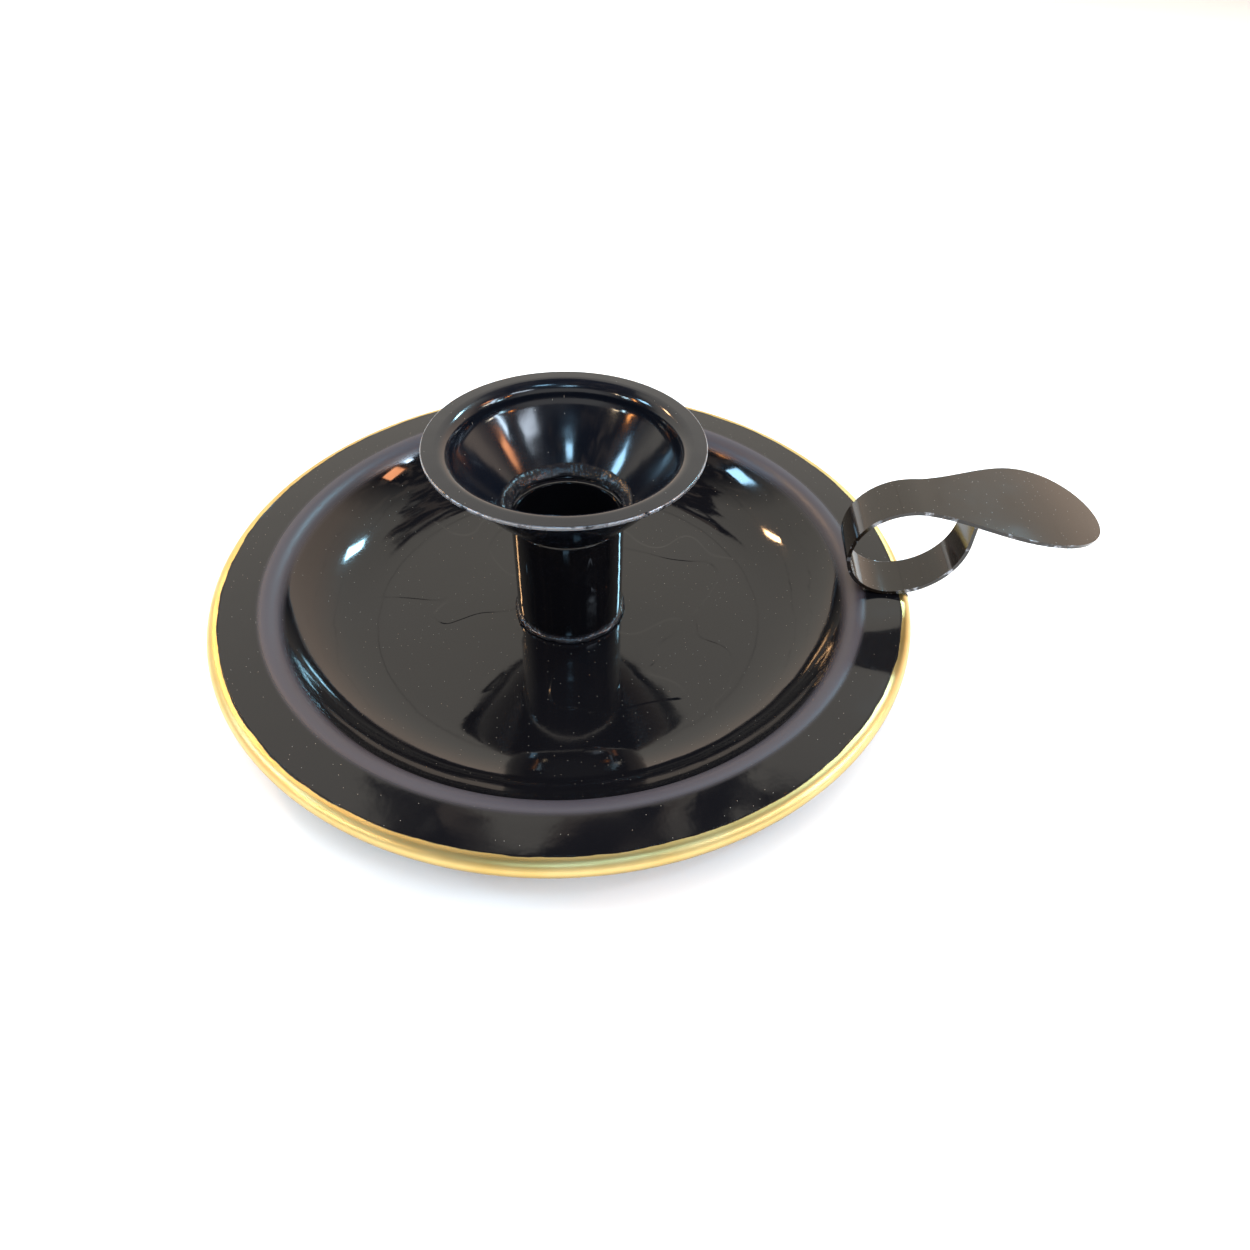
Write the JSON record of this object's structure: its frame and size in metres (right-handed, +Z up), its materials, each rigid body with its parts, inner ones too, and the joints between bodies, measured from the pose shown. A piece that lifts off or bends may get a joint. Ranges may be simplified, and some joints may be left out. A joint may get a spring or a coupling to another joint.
{
  "type": "chamberstick",
  "caption": "Low candlestick: saucer-shaped drip pan with a rolled brass rim, flared drip cup on a short candle socket, and a finger loop with a thumb rest.",
  "frame": {"origin": "centre of the flat middle of the pan's underside, on the candle socket's axis", "axes": "+Z up along the socket's axis; +X towards the handle's side, the handle's own upright plane being 8.6 degrees clockwise of +X seen from above; +Y completes the right-handed set"},
  "size_m": [0.184, 0.152, 0.0467],
  "materials": {
    "pan_lacquer": "glossy black lacquer",
    "rim_brass": "satin",
    "wire_steel": "drawn wire",
    "socket_lacquer": "glossy black lacquer",
    "cup_lacquer": "glossy black lacquer",
    "cup_braze_lacquer": "black lacquer over grainy braze",
    "stem_braze_lacquer": "black lacquer over grainy braze",
    "handle_lacquer": "glossy black lacquer",
    "handle_braze_inner_lacquer": "black lacquer over grainy braze",
    "handle_braze_outer_lacquer": "black lacquer over grainy braze"
  },
  "bodies": {
    "root": {"drip_pan": "pan_lacquer", "rim_bead": "rim_brass", "rim_wire": "wire_steel", "candle_socket": "socket_lacquer", "drip_cup": "cup_lacquer", "cup_braze": "cup_braze_lacquer", "stem_braze": "stem_braze_lacquer", "handle_strip": "handle_lacquer", "handle_braze_inner": "handle_braze_inner_lacquer", "handle_braze_outer": "handle_braze_outer_lacquer"}
  },
  "joints": []
}
